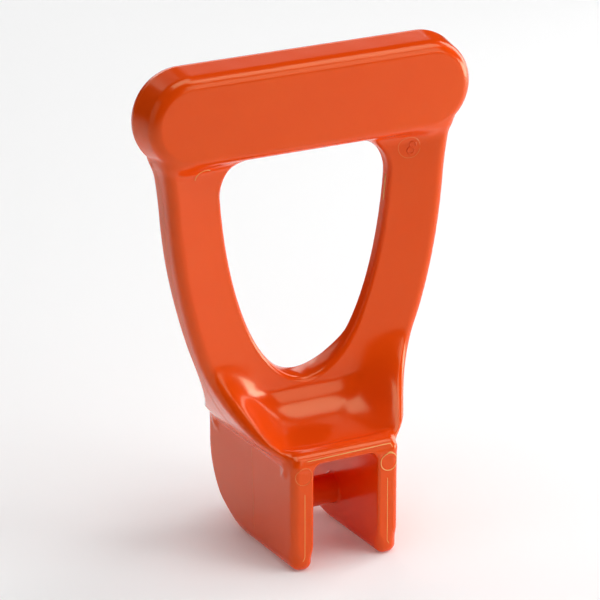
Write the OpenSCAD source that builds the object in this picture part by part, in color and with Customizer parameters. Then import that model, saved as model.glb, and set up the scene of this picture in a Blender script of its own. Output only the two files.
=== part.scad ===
// One-piece moulded D-grip handle with a forked foot and a moulded-in cross-pin.
// X runs along the grip bar, Y runs from front to back, Z is up.
// The origin is the centre of the cross-pin.

/* [Grip bar] */
// Length of the bar, end to end
bar_length = 140; // [132:1:150]
// Height of the bar at its widest outline
bar_height = 39.2; // [34:0.2:42]
// How far the bar's widest outline lies behind the cross-pin's centre
bar_y = 1.5; // [0:0.1:4]
// Depth of the bar in front of its widest outline
bar_front = 12.8; // [10:0.1:15]
// Depth of the bar behind its widest outline
bar_back = 8.9; // [7:0.1:14]
// Margin between the flat front face and the widest outline
face_margin = 5.6; // [4:0.1:7]
// Radius that rounds the edge of the flat front face
face_edge_r = 3; // [1:0.5:4]
// Height of the bar's centre line above the cross-pin
bar_z = 161.7; // [150:0.1:170]

/* [Arms] */
// Height of the common centre of the two ellipses that bound the arms
ring_z = 144.8; // [140:0.1:150]
// Half width of the outer ellipse
outer_a = 60; // [56:0.1:62]
// Half height of the outer ellipse
outer_b = 129.5; // [125:0.5:133]
// Half width of the finger window's ellipse
window_a = 36.7; // [33:0.1:40]
// Half height of the finger window's ellipse
window_b = 94.8; // [88:0.1:98]
// Radius of the window's corners under the bar
window_corner_r = 14; // [8:1:20]
// How far the arms widen where they run into the bar
shoulder_flare = 1.4; // [0:0.1:4]
// Depth of the arms' outer rim in front of the cross-pin's centre
rim_front = 7.5; // [6:0.1:11]
// Depth of the arms' outer rim behind the cross-pin's centre
rim_back = 5.4; // [3:0.1:8]
// Depth of the window's edge in front of the cross-pin's centre
edge_front = 3.7; // [2:0.1:6]
// Depth of the window's edge behind the cross-pin's centre
edge_back = 2.4; // [1:0.1:4]
// Radius of the rounded outer rim
rim_r = 4; // [1:0.1:4.5]

/* [Saddle] */
// Depth of the lip under the window, in front of the cross-pin's centre
lip_front = 4.5; // [3:0.5:9]
// Depth of the lip under the window, behind the cross-pin's centre
lip_back = 10.5; // [6:0.1:12]
// Height at which the rims start to flare out towards the fork
flare_top = 66; // [60:1:75]
// Height of the scoop's floor
scoop_floor = 30.6; // [29:0.1:33]
// Height at which the saddle is divided from the two arms
arm_foot = 62; // [58:1:64]

/* [Fork] */
// Width over the two prongs
fork_width = 46.4; // [42:0.2:50]
// Width of the slot between the prongs
slot_width = 27.8; // [24:0.2:30]
// Height of the slot's ceiling above the cross-pin
slot_top = 28; // [22:0.5:29]
// Reach of the fork in front of the cross-pin
fork_front = 37.4; // [34:0.2:40]
// Reach of the fork behind the cross-pin
fork_back = 36.2; // [32:0.2:38]
// How far the prong tips drop below the cross-pin
tip_drop = 15.2; // [12:0.2:18]
// Radius of the rounded heel at the back of each prong
heel_r = 32; // [20:0.2:34]
// Radius of the prong's rounded lower edges
tip_edge_r = 4; // [1:0.5:4.5]

/* [Cross-pin] */
// Diameter of the cross-pin
pin_d = 12; // [8:0.5:16]

/* [Hidden] */
body_orange = [0.89, 0.33, 0.14];
shade_orange = [0.80, 0.26, 0.10];

face_r = bar_height / 2 - face_margin;             // end radius of the flat front face
bar_core = bar_length / 2 - bar_height / 2;        // half length of the bar's straight part
bar_bottom = bar_z - bar_height / 2;
prong_t = (fork_width - slot_width) / 2;
window_bottom = ring_z - window_b;
arc_steps = 12;
arm_stations = 18;
saddle_stations = 36;
flare_start = bar_bottom - 18;                     // where the arms start to widen into the bar
shoulder_rise = 7;                                 // how far the shoulders reach up into the bar
half_foot = 0.5;                                   // share of the saddle's stations along its flat foot
rows = [0, 0.04, 0.15, 0.3, 0.5, 0.7, 0.86, 1];    // where a section is sampled, outer rim to window

function mix(a, b, t) = a + (b - a) * t;
function ease(t) = let (u = min(1, max(0, t))) u * u * (3 - 2 * u);
function ellipse_x(a, b, z) = a * sqrt(max(0, 1 - pow((ring_z - min(z, ring_z)) / b, 2)));

// Half width of the arms' outer outline, which widens a little just under the bar
function outer_x(z) =
    ellipse_x(outer_a, outer_b, z) + shoulder_flare * pow(max(0, z - flare_start) / 18, 2);

// Half width of the finger window, with rounded corners under the bar
function window_x(z) = let (
        r = window_corner_r,
        rise = min(r, max(0, z - (bar_bottom - r))))
    ellipse_x(window_a, window_b, z) - (r - sqrt(r * r - rise * rise));

// Share of the way from the arms' rim (0) to the fork's face (1) at height z
function flare(z) = pow(max(0, flare_top - z) / (flare_top - slot_top), 2);

// Quarter-ellipse fall of the scoop below the window, 0 at the lip and 1 at the floor
function scoop(z) = let (s = min(0.999, max(0, (window_bottom - z) / (window_bottom - scoop_floor))))
    1 - sqrt(1 - s * s);

// Depth of one face at t, from its outer rim (t = 0) to its window edge (t = 1)
function face_depth(z, t, rim, edge, lip, reach) = let (
        up = ease((z - window_bottom) / 25),
        rim_y = mix(rim, reach, min(1, flare(z))),
        inner_y = mix(mix(lip, edge, up), reach, scoop(z)),
        bend = mix(2.4, 1.05, ease((z - window_bottom) / 28)))
    rim_y + (min(inner_y, rim_y) - rim_y) * (1 - pow(1 - t, bend));

// Rounding of the outer rim at a distance d inside the outline
function rim_drop(d) = d >= rim_r ? 0 : rim_r - sqrt(rim_r * rim_r - pow(rim_r - d, 2));

// Closed section between an outer point and an inner point of the front outline
function section(outer, inner, round_rim) = let (
        gap = norm(inner - outer),
        pts = [for (t = rows) mix(outer, inner, t)])
    concat(
        [for (i = [0 : len(rows) - 1])
            [pts[i][0], -face_depth(pts[i][1], rows[i], rim_front, edge_front, lip_front, fork_front)
                + (round_rim ? rim_drop(rows[i] * gap) : 0), pts[i][1]]],
        [for (i = [len(rows) - 1 : -1 : 0])
            [pts[i][0], face_depth(pts[i][1], rows[i], rim_back, edge_back, lip_back, fork_back)
                - (round_rim ? rim_drop(rows[i] * gap) : 0), pts[i][1]]]);

// Solid skinned over a list of sections with equal point counts
module loft(sections) {
    n = len(sections[0]);
    m = len(sections);
    polyhedron(
        points = [for (s = sections) for (p = s) p],
        faces = concat(
            [[for (i = [n - 1 : -1 : 0]) i]],
            [[for (i = [0 : n - 1]) (m - 1) * n + i]],
            [for (j = [0 : m - 2]) for (i = [0 : n - 1]) let (k = (i + 1) % n)
                [j * n + i, (j + 1) * n + k, (j + 1) * n + i]],
            [for (j = [0 : m - 2]) for (i = [0 : n - 1]) let (k = (i + 1) % n)
                [j * n + i, j * n + k, (j + 1) * n + k]]),
        convexity = 6);
}

// Heights are packed closer together under the bar, where the window's corner turns
function arm_height(i) = let (t = i / arm_stations) mix(arm_foot, bar_bottom, 1 - pow(1 - t, 1.6));

module arm() {
    loft([for (i = [0 : arm_stations]) let (z = arm_height(i))
        section([outer_x(z), z], [window_x(z), z], true)]);
}

// Root of an arm, buried in the bar
module shoulder() {
    z = bar_bottom;
    loft([for (rise = [0, shoulder_rise])
        [for (p = section([outer_x(z), z], [window_x(z), z], true)) p + [0, 0, rise]]]);
}

// Half section of the bar: x is the distance from its centre line, y is the depth
function bar_profile() = concat(
    [[0, -bar_front]],
    [for (i = [0 : 4]) let (a = 80 * i / 4)
        [face_r + face_edge_r * sin(a), -bar_front + face_edge_r * (1 - cos(a))]],
    [for (i = [0 : arc_steps]) let (a = 90 * i / arc_steps)
        [bar_height / 2 * cos(a), bar_back * sin(a)]]);

module bar_shell() {
    translate([0, bar_y, bar_z]) {
        for (side = [-1, 1])
            translate([side * bar_core, 0, 0]) rotate([-90, side * -90, 0])
                rotate_extrude(angle = 180, $fn = 96) polygon(bar_profile());
        rotate([0, 90, 0]) linear_extrude(2 * bar_core, center = true)
            polygon(concat([for (p = bar_profile()) [p[0], p[1]]],
                [for (i = [len(bar_profile()) - 2 : -1 : 1]) let (p = bar_profile()[i]) [-p[0], p[1]]]));
    }
}

module grip_bar() {
    color(body_orange) union() {
        bar_shell();
        shoulder();
        mirror([1, 0, 0]) shoulder();
    }
}

module left_arm() { color(body_orange) mirror([1, 0, 0]) arm(); }
module right_arm() { color(body_orange) arm(); }

// Point of the saddle's outer outline: down an arm's foot, along the flat foot, up the other arm
function saddle_outer(s) = let (a = abs(s))
    a < half_foot ? [s / half_foot * outer_x(slot_top), slot_top]
    : let (z = mix(slot_top, arm_foot, (a - half_foot) / (1 - half_foot))) [sign(s) * outer_x(z), z];

// Point of the window's rounded bottom
function saddle_inner(s) = let (
        top = asin((ring_z - arm_foot) / window_b),
        a = mix(90, top, abs(s)))
    [sign(s) * window_a * cos(a), ring_z - window_b * sin(a)];

// Neck under the window, with a scoop in its front and its back
module saddle() {
    color(body_orange)
        loft([for (i = [0 : saddle_stations]) let (s = 2 * i / saddle_stations - 1)
            section(saddle_outer(s), saddle_inner(s), abs(s) > half_foot + 0.15)]);
}

// Side outline of a prong: straight front, flat sole, round heel
module prong_side() {
    polygon(concat(
        [[-fork_front, slot_top], [-fork_front, -tip_drop]],
        [for (i = [0 : arc_steps]) let (a = -90 + 90 * i / arc_steps)
            [fork_back - heel_r + heel_r * cos(a), -tip_drop + heel_r + heel_r * sin(a)]],
        [[fork_back, slot_top]]));
}

// Front outline of a prong, with rounded lower edges
module prong_front() {
    r = tip_edge_r;
    polygon(concat(
        [[fork_width / 2, slot_top], [slot_width / 2, slot_top]],
        [for (i = [0 : 6]) let (a = 180 + 15 * i)
            [slot_width / 2 + r + r * cos(a), -tip_drop + r + r * sin(a)]],
        [for (i = [0 : 6]) let (a = 270 + 15 * i)
            [fork_width / 2 - r + r * cos(a), -tip_drop + r + r * sin(a)]]));
}

module prong() {
    intersection() {
        rotate([90, 0, 90]) linear_extrude(fork_width) prong_side();
        rotate([90, 0, 0]) linear_extrude(3 * fork_front, center = true) prong_front();
    }
}

module left_prong() { color(shade_orange) mirror([1, 0, 0]) prong(); }
module right_prong() { color(shade_orange) prong(); }

module cross_pin() {
    color(shade_orange) rotate([0, 90, 0]) cylinder(h = slot_width, d = pin_d, center = true, $fn = 64);
}

grip_bar();
left_arm();
right_arm();
saddle();
left_prong();
right_prong();
cross_pin();
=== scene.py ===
# %% [markdown]
# # A moulded D-grip handle with a forked foot
# The real handle is one injection moulding in glossy orange plastic: a thick hand bar, two arms
# around a finger window, a scooped saddle under the window, and a fork whose two prongs carry a
# cross-pin. The CAD frame divides that moulding into named regions. This lesson builds the same
# regions as one smooth skin, so that no seam shows where they meet.

import bmesh
import bpy
import numpy as np
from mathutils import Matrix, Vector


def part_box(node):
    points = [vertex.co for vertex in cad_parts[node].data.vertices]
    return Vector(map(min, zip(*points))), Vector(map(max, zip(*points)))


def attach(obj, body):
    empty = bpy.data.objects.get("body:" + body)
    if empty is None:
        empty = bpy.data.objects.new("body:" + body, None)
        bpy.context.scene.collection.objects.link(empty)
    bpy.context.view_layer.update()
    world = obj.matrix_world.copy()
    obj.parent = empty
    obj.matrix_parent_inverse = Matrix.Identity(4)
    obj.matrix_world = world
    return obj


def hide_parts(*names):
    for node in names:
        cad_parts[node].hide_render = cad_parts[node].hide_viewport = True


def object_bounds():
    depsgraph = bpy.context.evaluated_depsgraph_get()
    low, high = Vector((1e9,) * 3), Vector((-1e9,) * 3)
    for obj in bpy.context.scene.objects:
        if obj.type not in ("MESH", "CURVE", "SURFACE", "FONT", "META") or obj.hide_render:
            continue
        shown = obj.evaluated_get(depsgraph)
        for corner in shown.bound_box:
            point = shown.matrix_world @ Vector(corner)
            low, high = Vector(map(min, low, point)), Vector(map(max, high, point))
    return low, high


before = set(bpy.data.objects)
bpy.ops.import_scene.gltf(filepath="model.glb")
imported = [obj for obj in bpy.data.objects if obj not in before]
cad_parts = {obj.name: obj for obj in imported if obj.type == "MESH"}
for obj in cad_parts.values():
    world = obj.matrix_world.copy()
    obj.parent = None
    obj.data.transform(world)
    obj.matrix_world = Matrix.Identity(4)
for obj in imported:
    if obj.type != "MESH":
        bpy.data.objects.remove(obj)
cad_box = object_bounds()
scene = bpy.context.scene
MM = 0.001
print("CAD nodes:", sorted(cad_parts))

# %% [markdown]
# ## The camera
# The camera stands well back with a long lens, a little above the handle and to its left, because
# a product view with a long lens keeps the bar and the fork nearly in proportion.

# %% Camera
VIEW_AZIMUTH, VIEW_ELEVATION = np.radians(28.0), np.radians(20.2)
DISTANCE = 1538.5
LOOK_AT = np.array([-0.1, 1.1, 80.4])

towards_camera = np.array([-np.sin(VIEW_AZIMUTH) * np.cos(VIEW_ELEVATION),
                           -np.cos(VIEW_AZIMUTH) * np.cos(VIEW_ELEVATION),
                           np.sin(VIEW_ELEVATION)])
camera_data = bpy.data.cameras.new("studio_camera")
camera_data.lens = 240
camera_data.sensor_width = 36
camera_data.clip_start, camera_data.clip_end = 0.05, 20
camera = bpy.data.objects.new("studio_camera", camera_data)
scene.collection.objects.link(camera)
camera.location = (LOOK_AT + DISTANCE * towards_camera) * MM
camera.rotation_euler = (np.pi / 2 - VIEW_ELEVATION, 0, -VIEW_AZIMUTH)
scene.camera = camera
print("camera stands at", np.round(np.array(camera.location), 3))

# %% [markdown]
# ## Sizes
# Everything that the CAD frame fixes is read from it. What is left are the soft shapes of the
# moulding, all in millimetres, with the cross-pin's centre as the origin.


# %% Sizes from the frame
def cad(node):
    """Lowest and highest corner of a CAD node, in millimetres."""
    return np.array(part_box(node)) / MM


prong_low, prong_high = cad("right_prong")
TIP_Z = prong_low[2]
SLOT_X, PRONG_X = prong_low[0], prong_high[0]
PIN_R = cad("cross_pin")[1][2]
print("slot", round(2 * SLOT_X, 1), "mm wide, pin", round(2 * PIN_R, 1), "mm thick")

# %% Soft shapes
RING_Z = 144.8                      # centre of the two ellipses that bound the arms
OUTER_A, OUTER_B = 60.0, 129.5      # outer ellipse, half width and half height
WINDOW_A, WINDOW_B = 36.7, 94.8     # finger window, half width and half height
WINDOW_TOP = 142.2                  # where the window ends under the bar
WINDOW_CORNER = 14.0                # radius of its top corners at the front
WINDOW_BOTTOM = RING_Z - WINDOW_B
BAR_Z, BAR_CORE = 161.7, 50.4       # centre line and half straight length of the bar
FACE_R, FACE_Y = 14.0, -11.3        # the flat front face of the bar
SIDE_OUT = 3.4                      # how far outside that face the bar's drafted side starts
PART_Y, PART_OUT = 1.5, 5.5         # widest outline of the bar
BACK_Y, BACK_ROUND = 10.4, 11.5     # back of the bar, and how far in its rounding reaches
FRONT_Y, REAR_Y = -36.6, 35.5       # reach of the fork
FORK_TOP, LOOP_FOOT = 29.6, 27.0    # the fork and the saddle overlap between these heights
SLOT_Z = 28.0                       # ceiling of the slot
HEEL_R = 31.6                       # round heel of the prongs
RIM_F, RIM_B = -7.5, 5.4            # outer rim of the arms, front and back
RIM_R_B = 4.0                       # rounding of the outer rim at the back
EDGE_F, EDGE_B = -3.7, 2.4          # window edge of the arms
LIP_F, LIP_B = -4.5, 10.5           # lip under the window
SCOOP_FLOOR = 30.8                  # where the scoop runs out level above the fork
FLARE_TOP, RIM_FOOT = 66.0, 30.0    # where the rims start to flare and where they meet the fork
BEAD_R, BEAD_TOP = 3.3, 32.4        # bead along the scoop's front and rear rims
BEAD_INSET, BEAD_HALF = 0.9, 23.0   # how far in from the fork's face it lies, and its half length
BEAD_FOOT = 24                      # how far down into the fork it is carried


# %% [markdown]
# ## Shapes as distance fields
# The arms run into the bar and the fork in soft fillets, and no grid of two parameters follows
# such a branching shape. So each region is written as a function that is negative inside the
# plastic and positive outside. Two such shapes are joined or cut with a rounded minimum or
# maximum, which is just what a fillet is, and the skin is found afterwards where the sum is zero.


# %% Joining shapes
def meet(a, b, r):
    """What two shapes share: the larger distance, with the outer edge rounded to radius r."""
    return np.minimum(np.maximum(a, b), -r) + np.hypot(np.maximum(a + r, 0), np.maximum(b + r, 0))


def join(a, b, r):
    """Two shapes together: the smaller distance, with the inner corner filled to radius r."""
    return np.maximum(np.minimum(a, b), r) - np.hypot(np.maximum(r - a, 0), np.maximum(r - b, 0))


def ease(t):
    """Smooth step from 0 to 1: three t squared less two t cubed."""
    t = np.clip(t, 0, 1)
    return t * t * (3 - 2 * t)


def lesser(a, b, width):
    """The smaller of two depths, with the crease where they cross smoothed over the given width:
    the minimum less the squared overlap over four widths."""
    return np.minimum(a, b) - np.maximum(width - np.abs(a - b), 0) ** 2 / (4 * width)


# %% The arms and the saddle
def ellipse_gap(x, z, a, b):
    """Distance to an ellipse round (0, RING_Z): (k - 1) k over the slope of k, k the scaled radius.
    Above its centre the sides run straight up."""
    k = np.hypot(x / a, (z - RING_Z) / b) + 1e-9
    slope = np.hypot(x / a ** 2, (z - RING_Z) / b ** 2) + 1e-12
    return np.where(z < RING_Z, (k - 1) * k / slope, np.abs(x) - a)


def half_width(a, b, z):
    """Half the width of an ellipse at height z: a times the root of one less the squared drop.
    Below the ellipse the width dies away softly, so that nothing that follows it has a crease."""
    left = 1 - ((RING_Z - np.minimum(z, RING_Z)) / b) ** 2
    return a * np.sqrt((left + np.hypot(left, 0.1)) / 2 / (1 + 0.0025))


def rim_radius(z):
    """Rounding of the outer rim at the front, in millimetres: a little tighter at the fork."""
    return 4.2 + 0.8 * ease((z - 30) / 20)


def edge_depth(z, edge, lip, reach):
    """Depth of the window's edge: from the arms down to the lip, and below the window down the
    quarter ellipse of the scoop."""
    fall = np.clip((WINDOW_BOTTOM - z) / (WINDOW_BOTTOM - SCOOP_FLOOR), 0, 0.9995)
    scoop = 1 - np.sqrt(1 - fall ** 2)
    rise = 25 if reach < 0 else 16
    up_arm = (edge - lip) * ease((z - WINDOW_BOTTOM) / rise)
    return lip + up_arm + (reach - lip) * scoop


def face_depth(x, z, rim, edge, lip, reach):
    """Depth y of the front or the back face. Across the arm it bends from the rim to the window
    edge, and under the window it falls away to the fork in a quarter ellipse, the scoop. Where the
    two depths cross, the back has a wide soft crease and the front a crisp one."""
    side = 1 if reach > 0 else -1
    window = half_width(WINDOW_A, WINDOW_B, z)
    crest = half_width(OUTER_A, OUTER_B, z) - (rim_radius(z) if side < 0 else RIM_R_B)
    basin = ease((72 - z) / 26)
    across = np.clip((np.abs(x) - window) / (crest - window), -0.3, 1.3)
    slope_up = np.sign(across) * np.abs(across) ** 1.1
    bowl = ease(np.clip(np.abs(x) / crest, 0, 1) ** 2.6)
    bend = slope_up + (bowl - slope_up) * basin
    swing, thin, crease = (2.0, 0.0, 0.2) if side < 0 else (2.5, 1.2, 3.0)
    flare = np.clip((FLARE_TOP - z) / (FLARE_TOP - RIM_FOOT), 0, 1) ** swing
    slim = rim - side * thin * ease((112 - z) / 40)
    at_rim = slim + (reach - slim) * flare
    at_edge = edge_depth(z, edge, lip, reach)
    nearer = lesser(side * at_edge, side * at_rim, crease)
    return at_rim + side * (nearer - side * at_rim) * (1 - bend)


def steepness(depth, x, z, *sizes):
    """Length of the normal (1, slope in x, slope in z) of a face, at most 4."""
    h = 0.9
    sx = (depth(x + h, z, *sizes) - depth(x - h, z, *sizes)) / (2 * h)
    sz = (depth(x, z + h, *sizes) - depth(x, z - h, *sizes)) / (2 * h)
    return np.minimum(np.sqrt(1 + sx ** 2 + sz ** 2), 4)


def loop(x, y, z):
    """The two arms and the saddle: between the front and back faces and inside the outer ellipse,
    which widens a little under the bar and narrows to the prongs at the fork's corners."""
    front = (RIM_F, EDGE_F, LIP_F, FRONT_Y)
    back = (RIM_B, EDGE_B, LIP_B, REAR_Y)
    to_front = (face_depth(x, z, *front) - y) / steepness(face_depth, x, z, *front)
    to_back = (y - face_depth(x, z, *back)) / steepness(face_depth, x, z, *back)
    widen = 1.4 * (np.clip(z - 124, 0, 30) / 18) ** 2
    outer = ellipse_gap(x, z, OUTER_A, OUTER_B) - widen
    belly = 7 * (1 - np.minimum(np.abs(y) / 34, 1) ** 2)
    corner = PRONG_X + 0.2 + 1.2 * np.maximum(z - 30, 0) + belly
    outer = meet(outer, 0.9 * (np.abs(x) - corner), 3.0)
    body = meet(meet(to_front, outer, rim_radius(z)), meet(to_back, outer, RIM_R_B), 1.0)
    return np.maximum(np.maximum(body, LOOP_FOOT - z), z - RING_Z - 10)


def window(x, y, z):
    """The finger window: inside a tall ellipse and below the bar, with rounded top corners that
    grow a little towards the back. Its wall is crowned, because the mould opens both ways."""
    corner = WINDOW_CORNER + 3.5 * ease((y + 1) / 6)
    height = np.maximum(z, WINDOW_BOTTOM)
    front = edge_depth(height, EDGE_F, LIP_F, FRONT_Y)
    back = edge_depth(height, EDGE_B, LIP_B, REAR_Y)
    across = (2 * y - front - back) / (back - front)
    crown = 1.6 * ease((68 - z) / 20) * np.clip(1 - across ** 2, 0, 1)
    return meet(ellipse_gap(x, z, WINDOW_A, WINDOW_B) + crown, z - WINDOW_TOP, corner)


# %% The hand bar
def bar(x, y, z):
    """Round-ended bar: distance from its centre line less a radius that grows from the flat front
    face to the parting outline, then closes over the back in a quarter ellipse."""
    out = np.hypot(np.maximum(np.abs(x) - BAR_CORE, 0), z - BAR_Z) - FACE_R
    draft = (PART_OUT - SIDE_OUT) / (PART_Y - FACE_Y)
    side = (out - PART_OUT + draft * (PART_Y - y)) / np.hypot(1, draft)
    front = meet(side, FACE_Y - y, 4.0)
    deep = BACK_Y - PART_Y
    core = PART_OUT - BACK_ROUND
    round_back = (np.hypot(np.maximum(out - core, 0) / BACK_ROUND,
                           np.maximum(y - PART_Y, 0) / deep) - 1) * min(BACK_ROUND, deep)
    back = np.where(out < core, y - BACK_Y, round_back)
    return np.where(y < PART_Y, front, back)


# %% The fork
def fork(x, y, z):
    """Block of the fork: flat front and sole, round heel, edges rounded to 3 mm, or to 4.5 mm
    along the sole."""
    heel_y, heel_z = REAR_Y - HEEL_R, TIP_Z + HEEL_R
    heel = np.hypot(y - heel_y, z - heel_z) - HEEL_R
    outline = np.where((y > heel_y) & (z < heel_z), heel,
                       np.where(z >= heel_z, y - REAR_Y, TIP_Z - z))
    outline = meet(outline, FRONT_Y - y, 3.0)
    sole = ease((-4 - z) / 6)
    return meet(meet(outline, np.abs(x) - PRONG_X, 3.0 + 1.5 * sole), z - FORK_TOP, 2.0)


def handle(x, y, z):
    """The whole moulding: loop, fork, the beads along the scoop's rims and the bar, with the
    window and the slot cut out of them."""
    body = join(loop(x, y, z), fork(x, y, z), 1.6)
    for inside in (y - FRONT_Y, REAR_Y - y):
        above = np.maximum(z - BEAD_TOP + BEAD_R, 0)
        bead = np.hypot(inside - BEAD_R - BEAD_INSET, above) - BEAD_R
        bead = meet(np.maximum(bead, BEAD_FOOT - z), np.abs(x) - BEAD_HALF, 3.2)
        body = join(body, bead, 1.2 + 3.0 * ease((inside - 3) / 4))
    body = join(body, bar(x, y, z), 1.5 + 3.5 * ease((151 - z) / 7))
    body = meet(body, -window(x, y, z), 1.6)
    slot = meet(np.abs(x) - SLOT_X, z - SLOT_Z, 3.5)
    return meet(body, -slot, 1.2 + 2.6 * ease((-5 - z) / 7))


# %% [markdown]
# ## From field to skin
# The field is sampled on a lattice. Each lattice cell that the surface crosses gets one point, and
# each lattice edge that it crosses gets one quad round it, a method called surface nets. The points
# then slide along the field's slope until they lie on the surface itself, which removes every trace
# of the lattice. The same slope gives exact shading normals.


# %% Skin
def skin(field, low, high, h):
    """Points and quads of the zero level of field on a lattice of step h, worked out as arrays."""
    axes = [np.arange(a - 2 * h, b + 3 * h, h) for a, b in zip(low, high)]
    f = field(*np.meshgrid(*axes, indexing="ij", sparse=True)) + np.zeros([len(a) for a in axes])
    cells = tuple(n - 1 for n in f.shape)
    total, count = np.zeros(cells + (3,)), np.zeros(cells)
    for k in range(3):
        f0, f1 = np.take(f, range(cells[k]), k), np.take(f, range(1, cells[k] + 1), k)
        crossed = (f0 < 0) != (f1 < 0)
        share = np.where(crossed, f0 / np.where(crossed, f0 - f1, 1), 0)
        o = [m for m in range(3) if m != k]
        for i in (0, 1):
            for j in (0, 1):
                cut = [slice(None)] * 3
                cut[o[0]], cut[o[1]] = slice(i, cells[o[0]] + i), slice(j, cells[o[1]] + j)
                c = crossed[tuple(cut)]
                count += c
                total[..., k] += share[tuple(cut)]
                total[..., o[0]] += i * c
                total[..., o[1]] += j * c
    used = count > 0
    number = np.full(cells, -1)
    number[used] = np.arange(used.sum())
    points = np.argwhere(used) + total[used] / count[used][:, None]
    points = points * h + np.array([a[0] for a in axes])
    quads = []
    for k in range(3):
        cut0, cut1 = [slice(1, -1)] * 3, [slice(1, -1)] * 3
        cut0[k], cut1[k] = slice(0, -1), slice(1, None)
        in0, in1 = f[tuple(cut0)] < 0, f[tuple(cut1)] < 0
        step = [0 if m == k else 1 for m in range(3)]
        u, v = (k + 1) % 3, (k + 2) % 3
        for edges, order in ((np.argwhere(in0 & ~in1), 1), (np.argwhere(~in0 & in1), -1)):
            corners = []
            for du, dv in ((-1, -1), (0, -1), (0, 0), (-1, 0)):
                c = edges + step
                c[:, u] += du
                c[:, v] += dv
                corners.append(number[c[:, 0], c[:, 1], c[:, 2]])
            quads.append(np.stack(corners[::order], 1))
    return points, np.concatenate(quads)


def slope(field, points, h=0.05):
    """Slope of a field: its difference over a small step each way along X, Y and Z."""
    steps = np.eye(3) * h
    return np.stack([(field(*(points + s).T) - field(*(points - s).T)) / (2 * h) for s in steps], 1)


def settle(field, points, rounds=3):
    """Slides points down the slope on to the zero level: distance over slope, 0.5 mm at most."""
    for _ in range(rounds):
        g = slope(field, points)
        move = field(*points.T)[:, None] * g / (np.sum(g * g, 1)[:, None] + 1e-6)
        length = np.linalg.norm(move, axis=1)[:, None]
        points = points - move * np.minimum(1, 0.5 / np.maximum(length, 1e-9))
    return points


STEP = 0.8
low, high = np.array(cad_box) / MM
points, quads = skin(handle, low, high, STEP)
points = settle(handle, points)
print("skin:", len(points), "points,", len(quads), "quads")


# %% [markdown]
# ## Cutting the skin into the moulding's regions
# Each region is cut out of the skin with flat planes and closed with flat caps, as the CAD nodes
# are. Both sides of a cut share the field's own normals, so the cut can't be seen.


# %% Regions
def unit(v):
    """Vectors of length one."""
    return v / np.maximum(np.linalg.norm(v, axis=-1, keepdims=True), 1e-12)


def region(name, planes):
    """Piece of the skin on the inner side of planes, each (point on it, outward normal), capped."""
    keep = np.ones(len(quads), bool)
    for spot, normal in planes:
        away = (points - spot) @ np.array(normal, float)
        keep &= (away[quads] < 2 * STEP).any(1)
    chosen = quads[keep]
    used, inverse = np.unique(chosen, return_inverse=True)
    mesh = bpy.data.meshes.new(name)
    mesh.from_pydata(points[used], [], inverse.reshape(chosen.shape))
    bm = bmesh.new()
    bm.from_mesh(mesh)
    for spot, normal in planes:
        everything = bm.verts[:] + bm.edges[:] + bm.faces[:]
        bmesh.ops.bisect_plane(bm, geom=everything, plane_co=spot, plane_no=normal,
                               clear_outer=True, dist=1e-4)
    for face in bm.faces:
        face.smooth = True
    rim = [e for e in bm.edges if e.is_boundary]
    bmesh.ops.holes_fill(bm, edges=rim, sides=0)
    bm.to_mesh(mesh)
    bm.free()
    count = len(mesh.vertices)
    at = np.empty(count * 3)
    mesh.vertices.foreach_get("co", at)
    at = at.reshape(-1, 3)
    normals = unit(slope(handle, at))
    faces = len(mesh.polygons)
    corners = np.empty(faces, int)
    mesh.polygons.foreach_get("loop_total", corners)
    face_normals = np.empty(faces * 3)
    mesh.polygons.foreach_get("normal", face_normals)
    vertex = np.empty(len(mesh.loops), int)
    mesh.loops.foreach_get("vertex_index", vertex)
    of_face = np.repeat(np.arange(faces), corners)
    flat = np.repeat(corners > 5, corners)
    smooth = normals[vertex]
    smooth[flat] = face_normals.reshape(-1, 3)[of_face][flat]
    mesh.vertices.foreach_set("co", (at * MM).ravel())
    mesh.shade_smooth()
    mesh.normals_split_custom_set(smooth)
    mesh.update()
    piece = bpy.data.objects.new(name, mesh)
    scene.collection.objects.link(piece)
    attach(piece, "root")
    print(name, "has", faces, "faces")
    return piece


UP, DOWN, LEFT, RIGHT = (0, 0, 1), (0, 0, -1), (-1, 0, 0), (1, 0, 0)
BAR_CUT, ARM_CUT, PRONG_CUT = (0, 0, 140.4), (0, 0, 62), (0, 0, 23.5)
MIDDLE = (0, 0, 0)
skins = {
    "grip_bar": [(BAR_CUT, DOWN)],
    "left_arm": [(BAR_CUT, UP), (ARM_CUT, DOWN), (MIDDLE, RIGHT)],
    "right_arm": [(BAR_CUT, UP), (ARM_CUT, DOWN), (MIDDLE, LEFT)],
    "saddle": [(ARM_CUT, UP), (PRONG_CUT, DOWN)],
    "left_prong": [(PRONG_CUT, UP), (MIDDLE, RIGHT)],
    "right_prong": [(PRONG_CUT, UP), (MIDDLE, LEFT)],
}
pieces = {}
for node, planes in skins.items():
    pieces[node] = region(node + "_skin", planes)
    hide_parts(node)


# %% [markdown]
# ## The cross-pin
# The pin is taken as moulded in one with the prongs, so it swells into each of them in a small
# fillet. It is turned as a profile about its axis, with its ends hidden in the plastic.


# %% Cross-pin
def mesh_piece(name, verts, faces, smooth=True):
    """A piece from millimetre points and faces, riding on the handle."""
    mesh = bpy.data.meshes.new(name)
    mesh.from_pydata(np.asarray(verts) * MM, [], faces)
    if smooth:
        mesh.shade_smooth()
    mesh.validate()
    piece = bpy.data.objects.new(name, mesh)
    scene.collection.objects.link(piece)
    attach(piece, "root")
    return piece


def grid_faces(rows, columns, first=0):
    """Quads of a grid whose columns close on themselves."""
    i, j = np.meshgrid(np.arange(rows - 1), np.arange(columns), indexing="ij")
    k = (j + 1) % columns
    here, above = i * columns, (i + 1) * columns
    quad = np.stack([here + j, here + k, above + k, above + j], -1)
    return (quad.reshape(-1, 4) + first).tolist()


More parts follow.
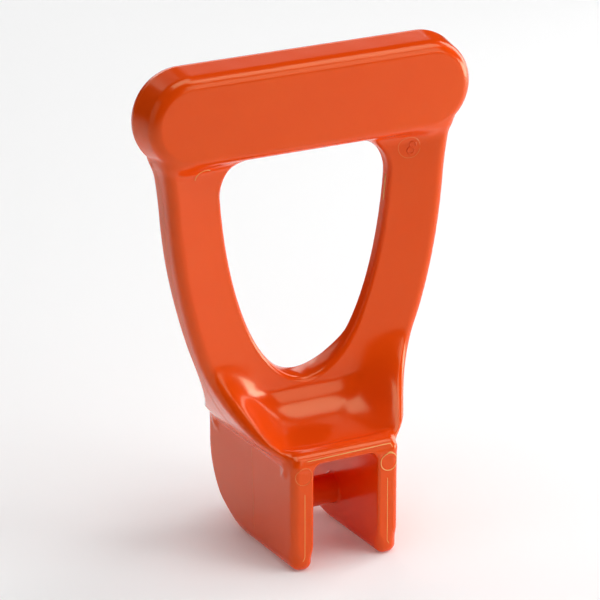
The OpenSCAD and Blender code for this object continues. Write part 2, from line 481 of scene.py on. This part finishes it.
def turned(name, along, radius, sides=96):
    """Round bar along X: at each place along it, a ring of the given radius."""
    a = np.arange(sides) * 2 * np.pi / sides
    ring = np.stack([np.zeros(sides), np.cos(a), np.sin(a)], 1)
    verts = ring[None] * radius[:, None, None] + np.stack([along, 0 * along, 0 * along], 1)[:, None]
    faces = grid_faces(len(along), sides)
    last = (len(along) - 1) * sides
    faces += [list(range(sides - 1, -1, -1)), list(range(last, last + sides))]
    return mesh_piece(name, verts.reshape(-1, 3), faces)


fillet, buried = 1.0, 0.3
turn = np.linspace(0, np.pi / 2, 9)
inner = SLOT_X - fillet + fillet * np.sin(turn)
swell = PIN_R + fillet - fillet * np.cos(turn)
along = np.concatenate([[-SLOT_X - buried], -inner[::-1], inner, [SLOT_X + buried]])
radius = np.concatenate([[PIN_R + fillet], swell[::-1], swell, [PIN_R + fillet]])
pieces["cross_pin"] = turned("cross_pin_moulded", along, radius)
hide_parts("cross_pin")


# %% [markdown]
# ## Flash, parting lines and ejector marks
# Where the halves and the loose parts of a mould meet, plastic creeps into the gap and leaves a
# thin raised line. The ejector pins leave shallow rings. A glossy surface shows such fine marks
# clearly, so they are modelled as thin beads, half sunk in the skin. Each bead's path is thrown at
# the handle from outside, and stops where the field says that the plastic begins.


# %% Draping and beads
def drape(start, way, reach=60.0, sink=0.12):
    """Moves start points along way until they meet the skin, then sinks them a little: the field is
    sampled every 0.2 mm, and a straight line between two samples gives its zero."""
    start = np.atleast_2d(np.array(start, float))
    way = unit(np.zeros_like(start) + np.array(way, float))
    t = np.arange(0, reach, 0.2)
    track = start[:, None] + t[None, :, None] * way[:, None]
    f = handle(track[..., 0], track[..., 1], track[..., 2])
    hit = np.argmax((f[:, 1:] < 0) & (f[:, :-1] >= 0), axis=1)
    row = np.arange(len(start))
    f0, f1 = f[row, hit], f[row, hit + 1]
    return start + (t[hit] + 0.2 * f0 / (f0 - f1) + sink)[:, None] * way


def stroke(corners, step=0.6):
    """Evenly spaced points along a line through corners, interpolated over its length."""
    corners = np.array(corners, float)
    along = np.concatenate([[0], np.cumsum(np.linalg.norm(np.diff(corners, axis=0), axis=1))])
    at = np.linspace(0, along[-1], max(int(along[-1] / step), 4))
    return np.stack([np.interp(at, along, corners[:, k]) for k in range(3)], 1)


def arc(x, y, z, radius, start=0.0, end=2 * np.pi, count=44):
    """Arc in the plane of X and Z: centre plus radius times the cosine and the sine."""
    a = np.linspace(start, end, count)
    return np.stack([x + radius * np.cos(a), np.full(count, y), z + radius * np.sin(a)], 1)


def beads(name, paths, thick, sides=8):
    """One piece from several beads: at each point of a path a small ring across its direction,
    whose radius falls away over the last points of either end."""
    a = np.arange(sides) * 2 * np.pi / sides
    verts, faces, first = [], [], 0
    for path in paths:
        way = unit(np.gradient(path, axis=0))
        side_on = np.where(np.abs(way[:, 1:2]) > 0.8, [[1.0, 0, 0]], [[0, 1.0, 0]])
        across = unit(np.cross(way, side_on))
        up = np.cross(way, across)
        to_end = np.minimum(np.arange(len(path)), np.arange(len(path))[::-1])
        radius = (thick / 2 * np.sqrt(np.clip((to_end + 0.3) / 2.3, 0, 1)))[:, None, None]
        rings = path[:, None] + radius * (np.cos(a)[None, :, None] * across[:, None]
                                          + np.sin(a)[None, :, None] * up[:, None])
        verts.append(rings.reshape(-1, 3))
        last = first + (len(path) - 1) * sides
        faces += grid_faces(len(path), sides, first)
        faces += [list(range(first, first + sides))[::-1], list(range(last, last + sides))]
        first += len(path) * sides
    piece = mesh_piece(name, np.concatenate(verts), faces)
    print(name, "has", len(faces), "faces")
    return piece


# %% Parting lines of the bar, the arms and the plates
TO_BACK = (0, 1, 0)
round_end = np.linspace(1.40 * np.pi, 0.5 * np.pi, 50)
way_in = -np.stack([np.cos(round_end), 0 * round_end, np.sin(round_end)], 1)
left_end = np.array([-BAR_CORE, PART_Y - 0.4, BAR_Z]) - 30 * way_in
top_run = stroke([(-BAR_CORE + 1, PART_Y - 0.4, BAR_Z + 30),
                  (BAR_CORE - 1, PART_Y - 0.4, BAR_Z + 30)])
over_bar = np.concatenate([left_end, top_run, left_end[::-1] * (-1, 1, 1)])
over_way = np.concatenate([way_in, np.zeros_like(top_run) + (0, 0, -1), way_in[::-1] * (-1, 1, 1)])
parting = [drape(over_bar, over_way, 30, sink=0.16)]
for side in (-1, 1):
    parting.append(drape(stroke([(78 * side, -1, 34), (78 * side, -1, 139)]), (-side, 0, 0), 78))
    parting.append(drape(stroke([(30 * side, -2.5, 25.5), (30 * side, -4.5, -9.5)]),
                         (-side, 0, 0), 25))
parting_lines = beads("parting_lines", parting, 0.36)

# %% Flash on the fork and in the window
before = FRONT_Y - 4
rim_flash = drape(stroke([(-17.6, before, 29.9), (15.5, before, 30.6), (19.4, before, 30.6),
                          (20.2, before, 29.0)]), TO_BACK, sink=0.08)
prong_flash = [drape(stroke([(18.0 * side, before, 17.5), (18.0 * side, before, -9.5),
                             (19.2 * side, before, -11.4)]), TO_BACK) for side in (-1, 1)]
window_flash = [drape(stroke([(20 * side, -1.2, low_z), (20 * side, -1.2, high_z)]),
                      (side, 0, 0), 30)
                for side, low_z, high_z in ((-1, 108, 116), (1, 116, 127))]
fork_flash = beads("fork_flash", [rim_flash] + prong_flash, 0.36)
edge_flash = beads("window_edge_flash", window_flash, 0.9)

# %% Ejector rings and the cavity number
rings = [drape(arc(18.6, before, 23.4, 3.6), TO_BACK, sink=0.0),
         drape(arc(-44.0, -30, 137.6, 4.3, 0.3 * np.pi, 0.95 * np.pi), TO_BACK, 50, sink=0.08)]
ejector_rings = beads("ejector_flash_rings", rings, 0.42)
soft_rings = beads("ejector_rings", [drape(arc(-18.4, before, 24.2, 3.5), TO_BACK, sink=0.0),
                                     drape(arc(44.0, -30, 137.2, 4.3), TO_BACK, 50, sink=0.1)], 0.4)
flake = drape(stroke([(16.9, before, 26.4), (18.6, before, 27.4), (20.3, before, 27.0)]),
              TO_BACK, sink=0.08)
number = [drape(arc(44.6, -30, 135.9, 1.35, 0.2, 2 * np.pi + 0.2, 26), TO_BACK, 50, sink=0.0),
          drape(arc(45.4, -30, 138.3, 1.15, -0.6, 1.75 * np.pi - 0.6, 24), TO_BACK, 50, sink=0.0)]
cavity_number = beads("cavity_number_8", number, 0.7)
flash_flake = beads("flash_flake", [flake], 0.7)


# %% [markdown]
# ## The plastic
# The handle is injection-moulded polypropylene or a similar plastic in signal orange, with a
# polished mould's gloss. That gives the eye a saturated colour, a clear but soft reflection of the
# lamps, and a very slight waviness where thick parts have sunk.


# %% Node helpers
def colour(hex_code):
    """sRGB hex to linear: each channel is (c + 0.055) / 1.055 to the power 2.4."""
    c = np.array([int(hex_code[i:i + 2], 16) for i in (1, 3, 5)]) / 255
    linear = np.where(c <= 0.04045, c / 12.92, ((c + 0.055) / 1.055) ** 2.4)
    return (*linear.tolist(), 1.0)


def add(tree, kind, settings=None, **links):
    """A node with its settings, its constants by socket name and its links."""
    node = tree.nodes.new(kind)
    for key, value in (settings or {}).items():
        setattr(node, key, value)
    for key, value in links.items():
        socket = node.inputs[int(key[1:]) if key[0] == "_" else key.replace("_", " ")]
        if isinstance(value, bpy.types.NodeSocket):
            tree.links.new(value, socket)
        else:
            socket.default_value = value
    return node


# %% Glossy moulded polypropylene
def moulded_plastic(name, deep, light):
    """Glossy plastic that drifts between a deep and a light tint where it has sunk."""
    material = bpy.data.materials.new(name)
    material.use_nodes = True
    tree = material.node_tree
    tree.nodes.clear()
    place = add(tree, "ShaderNodeTexCoord").outputs["Object"]
    sink = add(tree, "ShaderNodeTexNoise", Vector=place, Scale=1 / (22 * MM), Detail=1.0)
    grain = add(tree, "ShaderNodeTexNoise", Vector=place, Scale=1 / (0.9 * MM), Detail=2.0)
    tint = add(tree, "ShaderNodeMix", {"data_type": "RGBA"}, _0=sink.outputs["Fac"],
               _6=colour(deep), _7=colour(light))
    rough = add(tree, "ShaderNodeMapRange", Value=grain.outputs["Fac"], To_Min=0.14, To_Max=0.20)
    waves = add(tree, "ShaderNodeBump", Height=sink.outputs["Fac"], Strength=0.15, Distance=1 * MM)
    fine = add(tree, "ShaderNodeBump", Height=grain.outputs["Fac"], Strength=0.04,
               Distance=0.1 * MM, Normal=waves.outputs["Normal"])
    shader = add(tree, "ShaderNodeBsdfPrincipled", Base_Color=tint.outputs[2], IOR=1.5,
                 Roughness=rough.outputs["Result"], Normal=fine.outputs["Normal"],
                 Specular_Tint=(1.0, 0.95, 0.55, 1.0))
    add(tree, "ShaderNodeOutputMaterial", Surface=shader.outputs["BSDF"])
    return material


# Polypropylene from a polished mould: deep, saturated orange under a clear gloss.
orange = moulded_plastic("orange_moulded_polypropylene", "#F64906", "#FA5109")
# The same plastic squeezed thin in the mould's gaps: light goes through it, so it looks pale.
flash = moulded_plastic("thin_polypropylene_flash", "#FFA552", "#FFBE74")
# The low ridge where the mould's halves meet, and the shallow ejector rings: the same plastic with
# a painted highlight, tinted a little paler than the plastic around them because only their edges
# catch the light.
line = moulded_plastic("parting_line_painted_highlight", "#F86A2C", "#FC7A38")
for piece in list(pieces.values()) + [cavity_number]:
    piece.data.materials.append(orange)
# The parting lines and the soft ejector rings take the paler tint of that painted highlight.
for piece in (parting_lines, soft_rings):
    piece.data.materials.append(line)
for piece in (fork_flash, edge_flash, ejector_rings, flash_flake):
    piece.data.materials.append(flash)

# %% [markdown]
# ## Studio
# A plain pale floor and large soft lamps. Gloss shows whatever is around it, so the lamps are
# shaped and placed for the bands that they leave on the bar. Three more lights reach the floor
# alone and throw no shadow: they bring it close to white without washing out the orange.


# %% Floor and lamps
def floor():
    """Square matt floor, level with the lowest point of the fork."""
    size = 3.0
    z = cad_box[0][2]
    mesh = bpy.data.meshes.new("studio_floor")
    mesh.from_pydata([(-size, -size, z), (size, -size, z), (size, size, z), (-size, size, z)], [],
                     [(0, 1, 2, 3)])
    ground = bpy.data.objects.new("studio_floor", mesh)
    scene.collection.objects.link(ground)
    material = bpy.data.materials.new("pale_floor")
    material.use_nodes = True
    shader = material.node_tree.nodes["Principled BSDF"]
    shader.inputs["Base Color"].default_value = colour("#F4F4F4")
    shader.inputs["Roughness"].default_value = 0.9
    mesh.materials.append(material)
    return ground


def lamp(name, place, aim, size, watts, spread=180):
    """A soft lamp at a place, facing a point, both in metres. Spread, in degrees, is how widely it
    shines: a narrow one has a grid in front of it."""
    data = bpy.data.lights.new(name, "AREA")
    data.shape, data.size, data.size_y, data.energy = "RECTANGLE", size[0], size[1], watts
    data.spread = np.radians(spread)
    obj = bpy.data.objects.new(name, data)
    scene.collection.objects.link(obj)
    obj.location = place
    way = np.array(aim) - np.array(place)
    obj.rotation_euler = (np.arccos(-way[2] / np.linalg.norm(way)), 0,
                          np.arctan2(way[0], -way[1]) + np.pi)
    return obj


ground = floor()
middle = (0, 0, 0.08)
lamp("right_front_lamp", (0.47, -0.85, 0.45), middle, (0.5, 0.6), 1.9)
lamp("right_low_lamp", (0.85, -0.3, 0.08), middle, (0.5, 0.2), 2.8)
lamp("right_back_lamp", (0.98, 0.2, 0.42), middle, (0.5, 0.85), 5.5)
lamp("right_top_lamp", (0.53, -0.41, 1.0), middle, (0.5, 0.5), 2.6)
lamp("overhead_lamp", (0.0, -0.1, 1.25), middle, (0.7, 0.7), 4.8)
lamp("left_lamp", (-1.0, -0.1, 0.45), middle, (0.9, 0.8), 1.1)
lamp("back_lamp", (0.35, 1.1, 0.55), middle, (0.8, 0.6), 2.6)
lamp("back_top_lamp", (-0.2, 1.1, 0.9), middle, (0.8, 0.6), 1.9)
only_floor = bpy.data.collections.new("only_floor")
only_floor.objects.link(ground)
sun = bpy.data.lights.new("floor_sun", "SUN")
sun.energy, sun.angle = 0.35, np.radians(20)
floor_sun = bpy.data.objects.new("floor_sun", sun)
scene.collection.objects.link(floor_sun)
floor_lamps = [floor_sun, lamp("floor_lamp", (0.3, 0.5, 1.6), (0.3, 0.3, 0), (2.0, 2.0), 2.6),
               lamp("floor_left_lamp", (-0.3, 0.1, 0.8), (-0.3, -0.1, 0), (0.6, 0.6), 0.6)]
for obj in floor_lamps:
    obj.light_linking.receiver_collection = only_floor
    obj.data.use_shadow = False
world = bpy.data.worlds.new("studio_air")
world.use_nodes = True
world.node_tree.nodes["Background"].inputs["Color"].default_value = (1, 1, 1, 1)
world.node_tree.nodes["Background"].inputs["Strength"].default_value = 0.01
scene.world = world
scene.view_settings.view_transform = "Standard"

# %% Size of the frame
print("CAD box", np.round(np.array(cad_box) / MM, 1).tolist())
